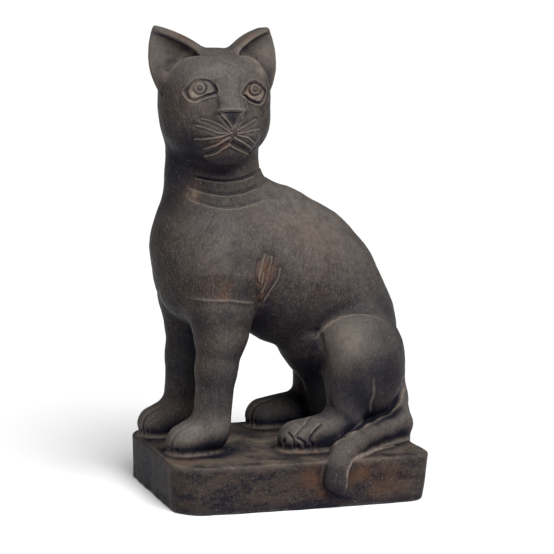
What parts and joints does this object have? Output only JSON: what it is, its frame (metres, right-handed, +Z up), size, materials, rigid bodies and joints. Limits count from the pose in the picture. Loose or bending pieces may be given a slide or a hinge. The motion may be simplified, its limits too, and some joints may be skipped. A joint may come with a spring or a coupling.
{
  "type": "cat statue",
  "caption": "Seated cat with its head turned over its shoulder and its tail hanging down the side of a low plinth, carved as a garden ornament in dark volcanic stone.",
  "frame": {"origin": "centre of the plinth's flat underside, on the ground", "axes": "+Z up; X along the plinth's long side with the cat's chest towards -X and its rump towards +X; the head is turned to look along -Y and the tail hangs down the plinth's -Y side"},
  "size_m": [0.3552, 0.2891, 0.6013],
  "materials": {
    "volcanic_stone": "hand-chiselled and rubbed basaltic stone, semi-matte, with brown wash and dust in the cuts"
  },
  "bodies": {
    "root": {"cat_statue": "volcanic_stone"}
  },
  "joints": []
}
